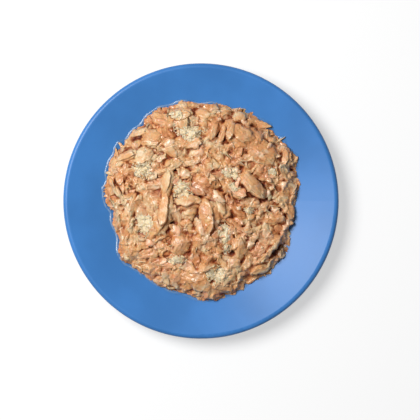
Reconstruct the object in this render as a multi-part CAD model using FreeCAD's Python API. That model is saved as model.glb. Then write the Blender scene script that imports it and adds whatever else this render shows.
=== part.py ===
"""A glazed saucer with one tin's worth of flaked fish in gravy turned out on it.

The saucer is a revolved stoneware dish: a foot ring, a flat well, a straight conical rim and a
half-round lip. The fish lies in the well and on the start of the rim as one uneven heap: a low
dome with a notched edge, whose surface carries the large flakes, the broken lumps between them
and the hollows that are left. The heap is bedded on the glaze, so it meets the saucer face to
face.

Units are millimetres. The origin is the centre of the foot ring's underside and +Z is up.
"""

import FreeCAD
import Part

import math
import os
from collections import namedtuple

# ---- saucer ------------------------------------------------------------------------------------
SAUCER_RADIUS = 75.0  # to the outside of the lip
WALL = 4.2  # thickness of the well and the rim, and of the half-round lip
WELL_RADIUS = 44.0  # the flat floor, out to where it starts to turn up
WELL_BEND = 14.0  # radius of the bend from the floor to the rim, on the glazed side
RIM_SLOPE = math.radians(16.0)  # the rim's climb above the horizontal
FOOT_INSET = 3.0  # how far the foot ring's outside stands in from the edge of the flat floor
FOOT_WIDTH = 3.6  # width of the flat that it stands on
FOOT_HEIGHT = 2.6  # depth of the recess inside the ring
FOOT_DRAFT = math.radians(14.0)  # lean of the ring's two walls
FOOT_ROUND = 0.8  # rounding of the ring's edges and roots

# ---- heap of fish ------------------------------------------------------------------------------
HEAP_RADIUS = 52.6  # mean radius of the outline, seen from above
HEAP_OFFSET = (0.9, 1.1)  # where the heap's centre landed, from the saucer's axis
HEAP_HEIGHT = 10.4  # the dome's crown above the floor of the well, without the flakes
EDGE_HEIGHT = 4.2  # height of the heap's flank at its outline
EDGE_RUN = 3.4  # width over which the flank climbs to that height
SKIRT_DEPTH = 2.4  # how far the flank is carried on below the glaze before it is trimmed
GRID_PITCH = 1.0  # spacing of the surface's poles, fine enough for a flake's edge
SHOULDER = 0.34  # share of a flake's half width over which its edge rounds off
LEAN = 0.45  # how much higher a flake's upper side lies than its middle, as a share of its rise

# Waves of the outline: how many go round, their depth and the azimuth of a crest in degrees.
OUTLINE_WAVES = ((3, 0.5, 30.0), (7, 0.6, 16.0), (12, 0.7, 31.0), (19, 0.6, 5.0), (31, 0.35, 9.0))

# Where single flakes make the outline stand out or leave a notch: azimuth and half width in
# degrees, and how far it stands out, which is negative for a notch.
Spot = namedtuple("Spot", "azimuth half_width out")
OUTLINE_SPOTS = (
    Spot(0, 8, -2.8),
    Spot(24, 6, 1.2),
    Spot(55, 8, -1.0),
    Spot(86, 4, -0.9),
    Spot(106, 9, 1.8),
    Spot(163, 5, 1.4),
    Spot(189, 8, -2.4),
    Spot(206, 4, -1.8),
    Spot(219, 6, 1.8),
    Spot(232, 5, -0.8),
    Spot(282, 8, 2.6),
    Spot(301, 5, -1.8),
    Spot(314, 7, 2.2),
    Spot(341, 7, -2.0),
)

# Broken lumps between the large flakes, set on a sunflower spiral.
LUMP_COUNT = 270
LUMP_LENGTH = 8.6
LUMP_WIDTH = 4.2
LUMP_RISE = 1.7
LUMP_TURN = math.radians(67.0)  # each lump's long axis against the one before it
GOLDEN_ANGLE = math.pi * (3.0 - math.sqrt(5.0))

# Large flakes that lie on top of the lumps. Azimuth in degrees and share of the heap's radius
# place the centre, turn is the long axis' angle from +X in degrees, and the sizes are millimetres.
LARGE_LIFT = 0.9  # how far the lumps under a large flake hold it up
Flake = namedtuple("Flake", "azimuth share turn length width rise")
LARGE_FLAKES = (
    Flake(205, 0.44, 77, 21.0, 8.0, 2.6),
    Flake(161, 0.39, 79, 18.5, 6.0, 2.2),
    Flake(199, 0.15, 10, 12.5, 7.5, 2.4),
    Flake(292, 0.22, 97, 23.5, 9.2, 2.6),
    Flake(332, 0.23, 128, 10.0, 7.0, 2.2),
    Flake(320, 0.44, -42, 14.0, 4.6, 1.8),
    Flake(308, 0.63, 86, 15.5, 6.2, 2.4),
    Flake(328, 0.64, 20, 11.0, 5.2, 2.2),
    Flake(18, 0.51, -45, 20.0, 7.8, 2.6),
    Flake(56, 0.76, -42, 17.0, 13.0, 2.2),
    Flake(37, 0.74, -42, 17.0, 14.0, 2.0),
    Flake(61, 0.23, 50, 13.0, 5.6, 2.0),
    Flake(136, 0.19, -25, 18.5, 5.6, 2.0),
    Flake(130, 0.78, -12, 13.5, 9.0, 2.6),
    Flake(150, 0.86, 28, 13.0, 5.6, 2.4),
    Flake(133, 0.92, 22, 12.0, 4.4, 1.8),
    Flake(146, 0.66, 30, 14.0, 11.0, 2.0),
    Flake(186, 0.77, 72, 15.0, 5.2, 2.2),
    Flake(172, 0.87, -60, 13.0, 4.6, 1.8),
    Flake(244, 0.54, 60, 11.0, 8.6, 2.2),
    Flake(266, 0.82, -22, 18.5, 10.5, 2.0),
    Flake(243, 0.93, -22, 11.0, 4.8, 1.6),
    Flake(203, 0.86, 74, 12.0, 4.8, 1.8),
    Flake(310, 0.91, 12, 11.0, 4.8, 1.6),
    Flake(326, 0.85, 56, 10.0, 4.4, 1.8),
    Flake(351, 0.88, 80, 11.0, 6.5, 2.2),
    Flake(25, 0.91, 80, 12.0, 6.5, 2.2),
    Flake(76, 0.75, 74, 9.5, 7.0, 1.8),
    Flake(105, 0.86, 15, 14.0, 7.6, 1.8),
)

# ---- worked out from the values above ----------------------------------------------------------
FLOOR_Z = FOOT_HEIGHT + WALL  # the glazed floor of the well
FOOT_RADIUS = WELL_RADIUS - FOOT_INSET  # outside of the foot ring, where it stands
LIP_RADIUS = WALL / 2.0
BEND_CENTRE = (WELL_RADIUS, FLOOR_Z + WELL_BEND)
UP_THE_RIM = (math.cos(RIM_SLOPE), math.sin(RIM_SLOPE))
OFF_THE_RIM = (-math.sin(RIM_SLOPE), math.cos(RIM_SLOPE))


def point(r, z):
    """A point of a revolved profile, at radius r and height z."""
    return FreeCAD.Vector(r, 0.0, z)


def bend_point(radius, angle):
    """A point on an arc about the bend's centre, angle being the slope reached there."""
    return (BEND_CENTRE[0] + radius * math.sin(angle), BEND_CENTRE[1] - radius * math.cos(angle))


def lip_centre():
    """Centre of the half-round lip, on the middle line of the rim."""
    r, z = bend_point(WELL_BEND + LIP_RADIUS, RIM_SLOPE)
    run = (SAUCER_RADIUS - LIP_RADIUS - r) / UP_THE_RIM[0]
    return (r + run * UP_THE_RIM[0], z + run * UP_THE_RIM[1])


def lip_point(across, along):
    """A point of the lip, offset from its centre across and along the rim."""
    r, z = lip_centre()
    r += across * OFF_THE_RIM[0] + along * UP_THE_RIM[0]
    z += across * OFF_THE_RIM[1] + along * UP_THE_RIM[1]
    return (r, z)


def glaze_edges():
    """The glazed side's profile, from the axis out to the top of the lip."""
    middle = point(*bend_point(WELL_BEND, RIM_SLOPE / 2.0))
    bend_end = point(*bend_point(WELL_BEND, RIM_SLOPE))
    floor_end = point(WELL_RADIUS, FLOOR_Z)
    return [
        Part.LineSegment(point(0.0, FLOOR_Z), floor_end).toShape(),
        Part.Arc(floor_end, middle, bend_end).toShape(),
        Part.LineSegment(bend_end, point(*lip_point(LIP_RADIUS, 0.0))).toShape(),
    ]


def revolved(edges):
    """The solid that a closed profile sweeps about the Z axis."""
    face = Part.Face(Part.Wire(edges))
    return face.revolve(FreeCAD.Vector(0, 0, 0), FreeCAD.Vector(0, 0, 1), 360.0)


def foot_ring():
    """The tapered ring that the saucer stands on, reaching up into the wall."""
    reach = FOOT_HEIGHT + WALL / 2.0
    spread = reach * math.tan(FOOT_DRAFT)
    inner = FOOT_RADIUS - FOOT_WIDTH
    corners = [
        point(inner, 0.0),
        point(FOOT_RADIUS, 0.0),
        point(FOOT_RADIUS + spread, reach),
        point(inner - spread, reach),
    ]
    return revolved(Part.makePolygon(corners + corners[:1]).Edges)


def rounded_foot(body):
    """Rounds the foot ring's standing edges and its roots in the wall."""
    spread = FOOT_HEIGHT * math.tan(FOOT_DRAFT)
    inner = FOOT_RADIUS - FOOT_WIDTH
    wanted = [(inner, 0.0), (FOOT_RADIUS, 0.0)]
    wanted += [(inner - spread, FOOT_HEIGHT), (FOOT_RADIUS + spread, FOOT_HEIGHT)]
    near = 0.01
    edges = []
    for edge in body.Edges:
        if isinstance(edge.Curve, Part.Circle):
            r, z = edge.Curve.Radius, edge.Curve.Center.z
            if any(abs(r - a) < near and abs(z - b) < near for a, b in wanted):
                edges.append(edge)
    return body.makeFillet(FOOT_ROUND, edges)


def saucer():
    """The whole dish as one solid."""
    under_end = point(*lip_point(-LIP_RADIUS, 0.0))
    bend_start = point(*bend_point(WELL_BEND + WALL, RIM_SLOPE))
    bend_middle = point(*bend_point(WELL_BEND + WALL, RIM_SLOPE / 2.0))
    floor_start = point(WELL_RADIUS, FOOT_HEIGHT)
    lip_tip = point(*lip_point(0.0, LIP_RADIUS))
    lip_top = point(*lip_point(LIP_RADIUS, 0.0))
    edges = glaze_edges() + [
        Part.Arc(lip_top, lip_tip, under_end).toShape(),
        Part.LineSegment(under_end, bend_start).toShape(),
        Part.Arc(bend_start, bend_middle, floor_start).toShape(),
        Part.LineSegment(floor_start, point(0.0, FOOT_HEIGHT)).toShape(),
        Part.LineSegment(point(0.0, FOOT_HEIGHT), point(0.0, FLOOR_Z)).toShape(),
    ]
    return rounded_foot(revolved(edges).fuse(foot_ring()).removeSplitter())


def bowl_space(top):
    """The room above the glaze, inside the lip and up to a height."""
    lip_r, lip_z = lip_point(LIP_RADIUS, 0.0)
    edges = glaze_edges() + [
        Part.LineSegment(point(lip_r, lip_z), point(lip_r, top)).toShape(),
        Part.LineSegment(point(lip_r, top), point(0.0, top)).toShape(),
        Part.LineSegment(point(0.0, top), point(0.0, FLOOR_Z)).toShape(),
    ]
    return revolved(edges)


def glaze_height(r):
    """Height of the glazed side at radius r from the saucer's axis."""
    if r <= WELL_RADIUS:
        return FLOOR_Z
    bend_end = bend_point(WELL_BEND, RIM_SLOPE)
    if r <= bend_end[0]:
        return BEND_CENTRE[1] - math.sqrt(WELL_BEND**2 - (r - WELL_RADIUS) ** 2)
    return bend_end[1] + (r - bend_end[0]) * math.tan(RIM_SLOPE)


def outline_radius(azimuth):
    """Radius of the heap's outline about its own centre, azimuth in radians."""
    radius = HEAP_RADIUS
    for count, depth, crest in OUTLINE_WAVES:
        radius += depth * math.cos(count * (azimuth - math.radians(crest)))
    for spot in OUTLINE_SPOTS:
        off = math.remainder(azimuth - math.radians(spot.azimuth), 2.0 * math.pi)
        radius += spot.out * math.exp(-((off / math.radians(spot.half_width)) ** 2))
    return radius


def small_lumps():
    """The broken lumps, spread evenly over the heap by the sunflower spiral."""
    lumps = []
    for i in range(LUMP_COUNT):
        share = math.sqrt((i + 0.5) / LUMP_COUNT)
        azimuth = math.degrees(i * GOLDEN_ANGLE)
        size = 0.75 + 0.5 * math.sin(i * 2.4) ** 2
        turn = math.degrees(i * LUMP_TURN)
        lumps.append(
            Flake(azimuth, share, turn, LUMP_LENGTH * size, LUMP_WIDTH * size, LUMP_RISE * size)
        )
    return lumps


def flake_rise(flake, x, y):
    """How far a flake stands above the dome at a point given from the heap's centre.

    A flake is a slab with a pointed oval outline, rounded shoulders and a top that leans to one
    side and to one end, so that it lies on its neighbours like a fallen tile.
    """
    azimuth = math.radians(flake.azimuth)
    turn = math.radians(flake.turn)
    dx = x - flake.share * HEAP_RADIUS * math.cos(azimuth)
    dy = y - flake.share * HEAP_RADIUS * math.sin(azimuth)
    along = (dx * math.cos(turn) + dy * math.sin(turn)) / (flake.length / 2.0)
    across = (dy * math.cos(turn) - dx * math.sin(turn)) / (flake.width / 2.0)
    fill = 1.0 - abs(along) ** 2.2 - abs(across) ** 2.6
    if fill <= 0.0:
        return 0.0
    shoulder = math.sin(min(1.0, fill / SHOULDER) * math.pi / 2.0) ** 0.5
    side = math.cos(flake.turn + flake.azimuth)  # which way it fell, as good as chance
    lean = 1.0 + LEAN * (side * across + (1.0 - abs(side)) * along)
    return flake.rise * shoulder * lean


def heap_height(x, y, flakes):
    """Height of the heap's surface at a point given from the saucer's axis."""
    bed = glaze_height(math.hypot(x, y))
    hx, hy = x - HEAP_OFFSET[0], y - HEAP_OFFSET[1]
    outline = outline_radius(math.atan2(hy, hx))
    distance = math.hypot(hx, hy)
    inside = outline - distance
    if inside <= 0.0:
        return bed + max(-SKIRT_DEPTH, inside * EDGE_HEIGHT / EDGE_RUN)
    flank = EDGE_HEIGHT * math.tanh(inside / EDGE_RUN)
    share = distance / outline
    crown = (HEAP_HEIGHT - EDGE_HEIGHT) * (1.0 - share**2.5)
    settled = FLOOR_Z + (bed - FLOOR_Z) * min(1.0, share**4)
    rise = max(flake_rise(flake, hx, hy) for flake in flakes)
    return settled + flank + crown + rise * math.tanh(inside / EDGE_RUN)


def open_knots(poles, degree):
    """Knots and multiplicities of a clamped, even B-spline with that many poles."""
    spans = poles - degree
    knots = [float(i) for i in range(spans + 1)]
    mults = [degree + 1] + [1] * (spans - 1) + [degree + 1]
    return knots, mults


def heap_surface():
    """The heap's upper surface, carried on under the glaze all round."""
    flakes = small_lumps()
    flakes += [flake._replace(rise=flake.rise + LARGE_LIFT) for flake in LARGE_FLAKES]
    reach = HEAP_RADIUS + 2.0 * SKIRT_DEPTH
    count = 2 * math.ceil(reach / GRID_PITCH) + 1
    places = [(i - count // 2) * GRID_PITCH for i in range(count)]
    poles = []
    for px in places:
        row = []
        for py in places:
            x, y = px + HEAP_OFFSET[0], py + HEAP_OFFSET[1]
            row.append(FreeCAD.Vector(x, y, heap_height(x, y, flakes)))
        poles.append(row)
    degree = 3
    knots, mults = open_knots(count, degree)
    surface = Part.BSplineSurface()
    surface.buildFromPolesMultsKnots(
        poles, mults, mults, knots, knots, False, False, degree, degree
    )
    return surface.toShape()


def heap():
    """The heap as one solid, trimmed to the glaze that it is bedded on."""
    top = FLOOR_Z + HEAP_HEIGHT + 4.0 * LUMP_RISE + WALL
    block = heap_surface().extrude(FreeCAD.Vector(0.0, 0.0, -top))
    return block.common(bowl_space(top))


def main():
    os.makedirs("parts", exist_ok=True)
    for name, shape in (("saucer", saucer()), ("flaked_fish", heap())):
        solid = shape.Solids[0]
        print(name, "solids", len(shape.Solids), "valid", solid.isValid(), "faces", len(solid.Faces))
        print(name, "volume", round(solid.Volume, 1), "box", solid.BoundBox)
        solid.exportStep(f"parts/{name}.step")


main()
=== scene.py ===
"""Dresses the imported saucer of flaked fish: glaze, flakes, crumbs, gravy and a plain studio.

The saucer keeps its construction mesh and gets a glaze. The heap's solid is replaced by a smaller
core and the real flakes, which are dropped one after another on a running map of the heap's
height, so that each lies on what was there before it. Lengths in the code are millimetres until
a mesh is made, and Blender's own units are metres.
"""

import math
from collections import namedtuple

import bpy
import numpy as np
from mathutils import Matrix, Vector
from mathutils.bvhtree import BVHTree


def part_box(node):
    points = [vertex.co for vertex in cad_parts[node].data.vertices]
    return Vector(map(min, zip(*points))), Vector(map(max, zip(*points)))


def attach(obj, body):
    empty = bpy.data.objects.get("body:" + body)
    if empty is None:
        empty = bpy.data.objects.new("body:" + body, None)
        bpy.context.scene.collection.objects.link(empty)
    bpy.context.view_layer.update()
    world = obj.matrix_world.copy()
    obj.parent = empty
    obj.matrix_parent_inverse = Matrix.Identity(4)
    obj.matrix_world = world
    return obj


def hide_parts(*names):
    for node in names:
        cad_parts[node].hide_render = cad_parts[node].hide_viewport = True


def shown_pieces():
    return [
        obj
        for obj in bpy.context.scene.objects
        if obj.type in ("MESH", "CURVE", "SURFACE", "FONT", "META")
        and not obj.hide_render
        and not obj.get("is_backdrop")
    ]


bl_info = {
    "name": "Flaked fish saucer",
    "version": (1, 0, 0),
    "blender": (4, 5, 0),
    "location": "3D View > Sidebar > Flaked fish",
    "description": "Lays flaked fish in gravy on a glazed saucer and sets up a plain studio",
    "category": "Object",
}

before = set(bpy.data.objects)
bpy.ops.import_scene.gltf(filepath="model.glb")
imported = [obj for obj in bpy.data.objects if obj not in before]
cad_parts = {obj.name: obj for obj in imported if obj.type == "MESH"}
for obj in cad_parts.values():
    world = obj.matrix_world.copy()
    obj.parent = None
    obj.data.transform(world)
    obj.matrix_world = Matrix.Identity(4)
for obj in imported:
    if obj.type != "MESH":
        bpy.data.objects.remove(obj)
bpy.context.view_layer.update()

MM = 0.001
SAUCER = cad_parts["saucer"]
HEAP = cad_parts["flaked_fish"]
HEAP_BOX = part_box("flaked_fish")
HEAP_CENTRE = tuple((low + high) / 2.0 / MM for low, high in zip(*HEAP_BOX))[:2]
TAU = 2.0 * math.pi
GOLDEN_ANGLE = math.pi * (3.0 - math.sqrt(5.0))
PITCH = 0.33  # spacing of the height map's cells
REACH = 59.4  # how far the map goes from the axis
CLEARANCE = 0.05  # least height of a piece over the glaze
MOST_OVERLAP = 0.22  # share of a small flake that may lie on a large one

# ---- flakes laid one by one --------------------------------------------------------------------
# Place of the middle from the saucer's axis, turn of the fibres from +X in degrees, length along
# them, width and thickness, all in millimetres. tint runs from 0, deep salmon, to 1, pale tan,
# blunt from 0, a pointed leaf, to 1, a strip cut square, and blush adds pink.
Laid = namedtuple("Laid", "x y turn length width thick tint blunt blush")
LARGE_FLAKES = [Laid(*row) for row in (
    (33.4, 25.8, -44, 17.5, 14.5, 2.8, 0.34, 0.55, 0.10),
    (24.4, 35.2, -40, 17.0, 13.5, 3.0, 0.46, 0.50, 0.05),
    (-31.5, 23.0, 30, 14.5, 11.5, 2.6, 0.95, 0.45, 0.00),
    (-2.5, -43.5, -22, 18.5, 10.5, 2.4, 0.62, 0.35, 0.00),
    (-11.7, -24.2, 60, 11.5, 9.0, 2.8, 0.66, 0.40, 0.15),
    (7.5, 38.5, 74, 12.0, 4.2, 2.4, 0.48, 0.35, 0.15),
    (11.8, 37.2, 70, 13.0, 4.4, 2.4, 0.40, 0.30, 0.20),
    (16.0, 39.0, 78, 10.5, 4.2, 2.2, 0.52, 0.35, 0.20),
    (-26.0, 33.3, -12, 14.0, 9.2, 3.0, 0.66, 0.40, 0.05),
    (-40.0, 24.5, 28, 13.5, 5.6, 3.0, 0.74, 0.50, 0.05),
    (-33.5, 37.2, 22, 12.5, 4.6, 2.6, 0.80, 0.25, 0.05),
    (-6.5, 8.6, -25, 19.0, 5.8, 2.6, 0.42, 0.35, 0.45),
    (6.8, 11.7, 50, 13.5, 5.8, 2.4, 0.55, 0.25, 0.30),
    (-17.9, 9.6, 79, 17.5, 6.2, 2.8, 0.86, 0.40, 0.00),
    (-19.9, -7.4, 76, 25.0, 8.6, 3.2, 0.88, 0.28, 0.00),
    (-6.6, -1.2, 10, 13.0, 7.6, 3.2, 0.78, 0.80, 0.05),
    (-6.0, -7.4, 12, 9.5, 6.0, 2.2, 0.82, 0.50, 0.10),
    (11.7, -4.2, 124, 11.0, 6.6, 2.6, 0.86, 0.30, 0.00),
    (18.8, -13.6, -42, 14.5, 5.0, 2.4, 0.52, 0.30, 0.20),
    (5.2, -9.8, 97, 24.0, 9.4, 3.2, 0.50, 0.12, 0.12),
    (19.0, 5.5, -20, 12.0, 7.0, 2.4, 0.60, 0.35, 0.25),
    (26.6, 9.5, -46, 20.0, 8.2, 3.4, 0.60, 0.65, 0.05),
    (21.2, -25.0, 86, 16.0, 6.4, 3.0, 0.66, 0.45, 0.10),
    (29.6, -16.8, 20, 11.5, 5.4, 2.8, 0.72, 0.30, 0.00),
    (-38.6, -3.0, 70, 16.0, 5.6, 3.0, 0.84, 0.25, 0.00),
    (-46.2, 5.7, -62, 13.5, 3.8, 2.4, 0.80, 0.15, 0.00),
    (-43.2, 8.4, -56, 12.5, 3.8, 2.4, 0.72, 0.15, 0.05),
    (-40.6, -16.8, 74, 12.5, 4.6, 2.6, 0.70, 0.20, 0.10),
    (-22.0, -44.2, -22, 11.5, 4.8, 2.4, 0.84, 0.35, 0.00),
    (-27.4, -28.4, 10, 11.5, 5.2, 2.4, 0.58, 0.30, 0.15),
    (-22.0, -34.0, -15, 12.5, 5.2, 2.4, 0.50, 0.35, 0.20),
    (32.5, -37.0, 14, 12.0, 5.0, 2.6, 0.80, 0.35, 0.00),
    (35.2, -29.8, 52, 11.5, 3.4, 2.2, 0.84, 0.10, 0.00),
    (38.4, -26.4, 58, 11.0, 3.2, 2.4, 0.80, 0.08, 0.00),
    (41.4, -22.6, 56, 10.0, 3.0, 2.2, 0.74, 0.08, 0.00),
    (48.0, -6.2, 80, 11.5, 6.6, 2.8, 0.86, 0.40, 0.00),
    (40.5, -10.4, 5, 11.5, 4.8, 2.6, 0.60, 0.30, 0.10),
    (35.6, -2.4, 30, 11.0, 5.0, 2.4, 0.44, 0.30, 0.45),
    (46.6, 22.6, 80, 12.5, 6.6, 2.8, 0.66, 0.35, 0.05),
    (-11.1, 47.0, 15, 14.5, 7.8, 2.4, 0.74, 0.35, 0.05),
    (2.4, 46.8, -10, 11.5, 7.0, 2.4, 0.82, 0.40, 0.00),
    (22.9, 45.2, -25, 10.0, 7.0, 2.6, 0.76, 0.35, 0.00),
    (31.6, 42.4, -22, 12.5, 4.4, 2.4, 0.68, 0.25, 0.05),
    (13.3, -30.6, -5, 10.0, 4.2, 2.2, 0.78, 0.25, 0.00),
    (3.5, -35.6, 25, 12.5, 4.8, 2.4, 0.66, 0.25, 0.10),
    (11.7, -47.6, -8, 12.5, 5.4, 2.4, 0.78, 0.35, 0.05),
    (-15.5, 27.0, -35, 10.0, 5.8, 2.2, 0.80, 0.35, 0.00),
    (-7.4, 21.6, 20, 9.5, 5.2, 2.2, 0.86, 0.40, 0.00),
    (17.1, 22.4, -30, 11.0, 5.0, 2.4, 0.50, 0.25, 0.25),
)]

# Pointed shreds that stick out over the heap's edge, in the same terms.
EDGE_SHREDS = [Laid(*row) for row in (
    (-43.6, 30.4, 118, 5.5, 2.2, 1.5, 0.55, 0.05, 0.05),
    (-45.8, 26.4, 106, 6.0, 1.6, 1.2, 0.50, 0.02, 0.00),
    (-48.8, 17.4, 96, 5.0, 1.5, 1.1, 0.60, 0.02, 0.05),
    (-49.6, 14.9, 172, 5.0, 1.5, 1.1, 0.70, 0.02, 0.05),
    (-48.6, 8.6, 116, 9.0, 2.0, 1.5, 0.62, 0.05, 0.00),
    (-46.6, 5.6, 118, 10.5, 2.1, 1.6, 0.72, 0.05, 0.00),
    (-44.2, 3.8, 113, 9.5, 1.9, 1.5, 0.66, 0.05, 0.00),
    (-48.2, -1.6, 112, 7.5, 1.7, 1.3, 0.74, 0.02, 0.05),
    (-44.8, -10.8, 98, 8.5, 1.9, 1.4, 0.70, 0.05, 0.05),
    (-43.2, -18.6, 100, 8.0, 1.8, 1.4, 0.76, 0.05, 0.00),
    (-40.6, -21.6, 82, 8.5, 2.0, 1.5, 0.66, 0.05, 0.05),
    (-38.0, -14.6, 76, 9.5, 1.9, 1.4, 0.80, 0.05, 0.00),
    (43.2, 33.3, 25, 6.0, 2.0, 1.4, 0.74, 0.02, 0.00),
    (50.6, 21.8, 62, 6.5, 2.0, 1.4, 0.68, 0.05, 0.00),
    (50.4, 2.4, 74, 7.0, 2.0, 1.4, 0.60, 0.05, 0.05),
    (38.2, -33.2, 48, 8.0, 1.8, 1.4, 0.72, 0.05, 0.05),
    (27.4, -43.8, 24, 7.5, 1.8, 1.3, 0.66, 0.05, 0.05),
    (-17.6, -47.0, -14, 7.0, 1.8, 1.3, 0.70, 0.05, 0.05),
    (-32.6, -36.8, -36, 7.0, 1.9, 1.4, 0.62, 0.05, 0.05),
)]

# Ragged clusters of cream-coloured curd: place of the middle, then size across and along.
Cluster = namedtuple("Cluster", "x y across along")
CURD_CLUSTERS = [Cluster(*row) for row in (
    (-13.1, 47.2, 8.5, 5.0),
    (-6.3, 36.8, 15.0, 8.5),
    (-31.5, 17.0, 12.0, 9.0),
    (-10.2, 5.6, 10.0, 11.0),
    (-30.4, -12.6, 10.0, 13.0),
    (16.5, 15.1, 10.0, 7.0),
    (18.4, 8.2, 6.0, 5.0),
    (12.6, -18.0, 7.0, 12.5),
    (-13.1, -32.3, 9.0, 5.5),
    (8.6, -40.2, 10.0, 9.5),
    (14.0, -26.0, 5.5, 5.5),
    (38.8, 16.0, 4.5, 4.5),
    (26.4, -5.0, 5.0, 3.5),
)]

# Smooth whitish lumps that stand out: place of the middle and width.
Lump = namedtuple("Lump", "x y width")
WHITE_LUMPS = [Lump(*row) for row in (
    (-17.1, 30.9, 5.0),
    (-35.4, 30.4, 4.6),
    (5.2, 50.0, 5.0),
    (36.7, 29.6, 3.8),
    (-13.3, -16.2, 5.0),
    (9.0, 2.0, 5.2),
    (0.6, -16.0, 5.0),
    (47.0, -12.4, 4.2),
    (44.8, 8.4, 4.4),
    (40.2, -4.6, 4.0),
    (-27.6, -22.4, 4.0),
    (26.2, -24.0, 4.2),
    (-8.2, 14.8, 4.0),
    (-1.0, 26.0, 4.4),
    (17.6, -33.0, 4.8),
    (43.2, -29.8, 4.0),
)]


# ---- settings that a user would change ---------------------------------------------------------
def colour(name, description, default):
    """A linear colour property."""
    return bpy.props.FloatVectorProperty(
        name=name, description=description, default=default, subtype="COLOR", size=3, min=0.0, max=1.0
    )


def length(name, description, default_mm):
    """A length property, given in millimetres and kept in metres."""
    return bpy.props.FloatProperty(
        name=name, description=description, default=default_mm * MM, min=0.0, unit="LENGTH"
    )


def share(name, description, default):
    """A property from 0 to 1."""
    return bpy.props.FloatProperty(
        name=name, description=description, default=default, min=0.0, max=1.0, subtype="FACTOR"
    )


def count(name, description, default):
    """A whole number of pieces."""
    return bpy.props.IntProperty(name=name, description=description, default=default, min=0)


class SaucerSettings(bpy.types.PropertyGroup):
    glaze: colour("Glaze", "Colour of the glaze", (0.047, 0.189, 0.492))
    glaze_roughness: share("Glaze roughness", "Roughness of the glaze", 0.35)
    bare_clay: colour("Bare clay", "Colour of the unglazed ring it stands on", (0.62, 0.55, 0.46))


class HeapSettings(bpy.types.PropertyGroup):
    seed: count("Seed", "Changes how the loose pieces fall", 7)
    cover: length("Cover", "Depth of loose pieces over the core", 3.4)
    bed_flakes: count("Bed flakes", "Flakes of the layer over the core", 240)
    broken_flakes: count("Broken flakes", "Broken flakes that fill in between the large ones", 330)
    chips: count("Chips", "Small chips on top", 130)
    shreds: count("Shreds", "Thin pointed shreds", 80)
    crumbs: count("Crumbs", "Fine crumbs", 90)
    loose_lumps: count("Loose lumps", "Small whitish lumps strewn over the heap", 24)


class FishColours(bpy.types.PropertyGroup):
    deep: colour("Deep salmon", "Darkest flesh", (0.57, 0.225, 0.083))
    mid: colour("Peach", "Most of the flesh", (0.67, 0.335, 0.140))
    pale: colour("Pale tan", "Palest flesh", (0.71, 0.510, 0.298))
    pink: colour("Pink", "Blush on some flakes", (0.64, 0.285, 0.180))
    milky: colour("Milky", "Whitish patches", (0.77, 0.650, 0.48))
    golden: colour("Golden", "Yellowish patches", (0.74, 0.475, 0.205))
    # painted shade as well as juice: the hollows are darkened towards this colour
    juice_and_shade: colour("Juice", "Juice in the hollows", (0.19, 0.032, 0.010))
    curd: colour("Curd", "Crumbly cream-coloured clusters", (0.73, 0.590, 0.385))
    lump: colour("Lump", "Smooth whitish lumps", (0.84, 0.58, 0.38))


class StudioSettings(bpy.types.PropertyGroup):
    key_light: bpy.props.FloatProperty(
        name="Key light", description="Power of the large soft box", default=9.9, min=0.0, unit="POWER"
    )
    fill_light: share("Fill light", "Strength of the light from all round", 0.18)
    floor: share("Floor", "Lightness of the floor", 0.43)
    view_width: length("View width", "Width of what the camera sees", 228.2)


class FlakedFishSettings(bpy.types.PropertyGroup):
    saucer: bpy.props.PointerProperty(type=SaucerSettings)
    heap: bpy.props.PointerProperty(type=HeapSettings)
    fish: bpy.props.PointerProperty(type=FishColours)
    studio: bpy.props.PointerProperty(type=StudioSettings)


def settings():
    """The scene's settings."""
    return bpy.context.scene.flaked_fish


# ---- shader expressions ------------------------------------------------------------------------
class Wire:
    """A node's output socket. Arithmetic on it adds Math nodes to its material."""

    def __init__(self, paint, socket):
        self.paint = paint
        self.socket = socket

    def math(self, operation, *values, clamp=False):
        kind = {"operation": operation, "use_clamp": clamp}
        return self.paint.node("ShaderNodeMath", kind, dict(enumerate(values)))

    def __add__(self, other):
        return self.math("ADD", self, other)

    __radd__ = __add__

    def __sub__(self, other):
        return self.math("SUBTRACT", self, other)

    def __rsub__(self, other):
        return self.math("SUBTRACT", other, self)

    def __mul__(self, other):
        return self.math("MULTIPLY", self, other)

    __rmul__ = __mul__

    def clamped(self):
        return self.math("ADD", self, 0.0, clamp=True)

    def maximum(self, other):
        return self.math("MAXIMUM", self, other)

    def step(self, start, end):
        """0 below start, 1 above end and a smooth rise between them."""
        kind = {"interpolation_type": "SMOOTHSTEP"}
        values = {"Value": self, "From Min": start, "From Max": end}
        return self.paint.node("ShaderNodeMapRange", kind, values)


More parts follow.
